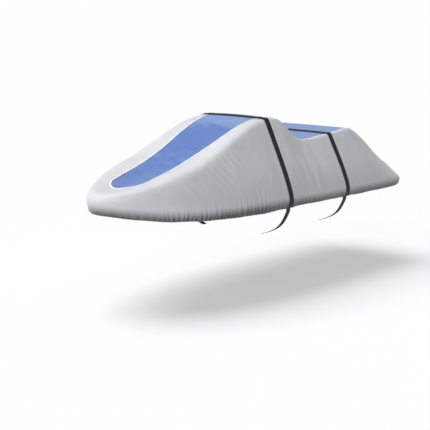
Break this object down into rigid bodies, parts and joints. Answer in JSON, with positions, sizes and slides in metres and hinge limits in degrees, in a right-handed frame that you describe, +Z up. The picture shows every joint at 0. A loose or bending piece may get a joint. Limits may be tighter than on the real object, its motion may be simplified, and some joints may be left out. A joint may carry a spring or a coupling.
{
  "type": "personal watercraft cover",
  "caption": "Fitted grey cloth cover for a personal watercraft, with blue hood and seat panels and black webbing straps over the top.",
  "frame": {"origin": "on the centre plane, on the inner face of the cloth over the console, where the craft's handlebar hood carries the cover", "axes": "+X aft along the craft from bow to stern, -Y to port, +Z up"},
  "size_m": [3.1773, 1.1581, 0.9104],
  "materials": {
    "grey_cloth": "matte",
    "blue_cloth": "matte",
    "black_webbing": "matte"
  },
  "bodies": {
    "root": {"body_cloth": "grey_cloth", "hood_panel": "blue_cloth", "seat_panel": "blue_cloth", "front_strap": "black_webbing", "rear_strap": "black_webbing"}
  },
  "joints": []
}
